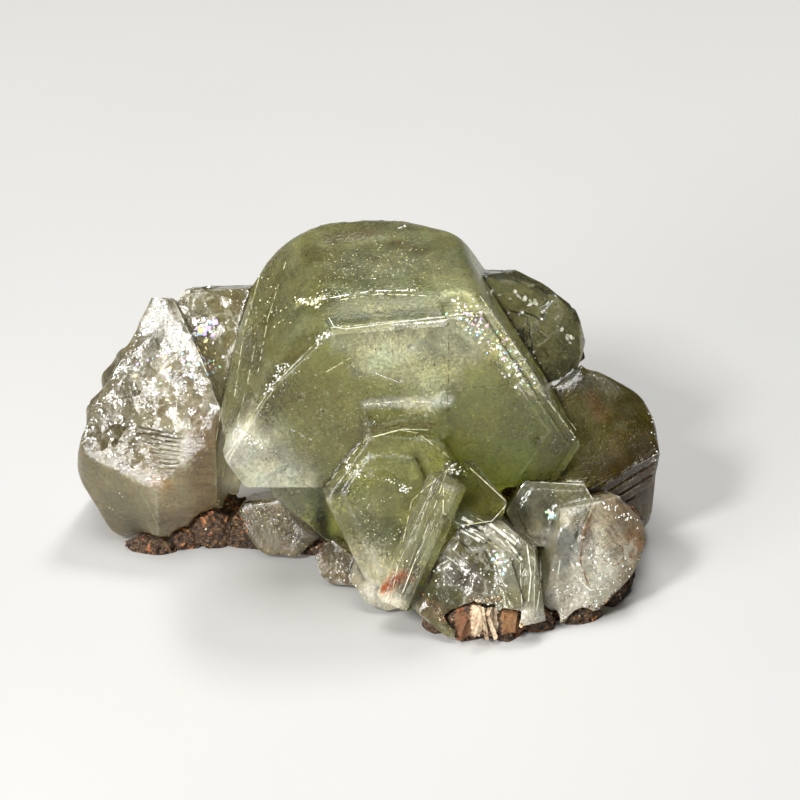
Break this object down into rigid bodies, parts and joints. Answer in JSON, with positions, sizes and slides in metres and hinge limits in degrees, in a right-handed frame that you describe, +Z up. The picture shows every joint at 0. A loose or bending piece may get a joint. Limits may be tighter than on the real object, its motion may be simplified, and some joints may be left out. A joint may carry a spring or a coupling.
{
  "type": "apatite crystal cluster",
  "caption": "Apatite cluster: a stubby six-sided olive-green prism with smaller translucent crystals grown against it, on thin rusty matrix.",
  "frame": {"origin": "a point on the flat foot of the matrix, under the middle of the group", "axes": "+Z up from the surface the cluster lies on; the main prism's end face looks toward -Y, turned 10 degrees to +X; +X to the viewer's right"},
  "size_m": [0.0673, 0.043, 0.0342],
  "materials": {
    "apatite": "vitreous, translucent, frosted in places",
    "rusty_matrix": "rough, earthy"
  },
  "bodies": {
    "root": {"crystals": "apatite", "matrix": "rusty_matrix"}
  },
  "joints": []
}
